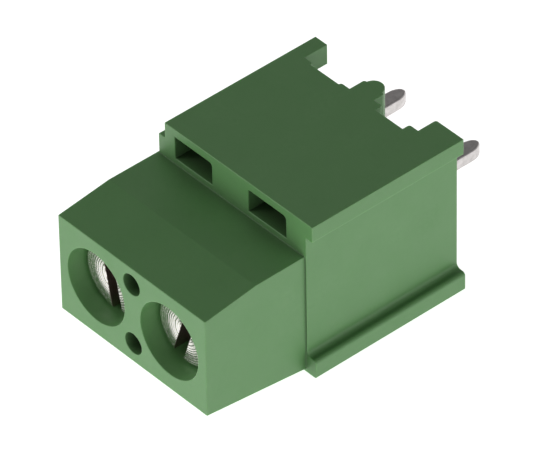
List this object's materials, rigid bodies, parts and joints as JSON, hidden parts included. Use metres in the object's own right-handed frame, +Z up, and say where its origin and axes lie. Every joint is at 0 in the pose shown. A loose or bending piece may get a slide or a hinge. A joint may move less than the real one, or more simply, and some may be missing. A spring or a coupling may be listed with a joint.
{
  "type": "pcb screw terminal",
  "caption": "Green moulded screw terminal block for a circuit board, with slotted clamping screws, rising clamps, flat solder pins and side rails for joining blocks.",
  "frame": {"origin": "under the middle of the whole part, on the rest plane that its wire-entry side lies on", "axes": "+X along the poles, +Y from the screw face towards the board, +Z up, away from the wire-entry side"},
  "size_m": [0.0108, 0.019, 0.009],
  "materials": {
    "green_housing": "satin moulded polyamide",
    "tin": "dull tin plating",
    "cage_metal": "nickel-plated brass",
    "screw_metal": "turned and zinc-plated"
  },
  "bodies": {
    "block": {"housing": "green_housing", "contact_1": "tin", "contact_2": "tin"},
    "cage_1": {"clamp_cage_1": "cage_metal"},
    "cage_2": {"clamp_cage_2": "cage_metal"},
    "screw_1": {"clamp_screw_1": "screw_metal"},
    "screw_2": {"clamp_screw_2": "screw_metal"}
  },
  "joints": [
    {"name": "screw_1_turn", "type": "hinge", "parent": "block", "child": "screw_1", "pos_m": [-0.00287, -0.0069, 0.00377], "axis": [0, 1, 0], "range_deg": [0, 1800]},
    {"name": "cage_1_lift", "type": "slide", "parent": "block", "child": "cage_1", "axis": [0, -1, 0], "range_m": [0, 0.0025]},
    {"name": "screw_2_turn", "type": "hinge", "parent": "block", "child": "screw_2", "pos_m": [0.0022, -0.0069, 0.00377], "axis": [0, 1, 0], "range_deg": [0, 1800]},
    {"name": "cage_2_lift", "type": "slide", "parent": "block", "child": "cage_2", "axis": [0, -1, 0], "range_m": [0, 0.0025]}
  ],
  "couplings": [
    {"joint": "screw_1_turn", "follows": "cage_1_lift", "rad_per_m": 12566},
    {"joint": "screw_2_turn", "follows": "cage_2_lift", "rad_per_m": 12566}
  ]
}
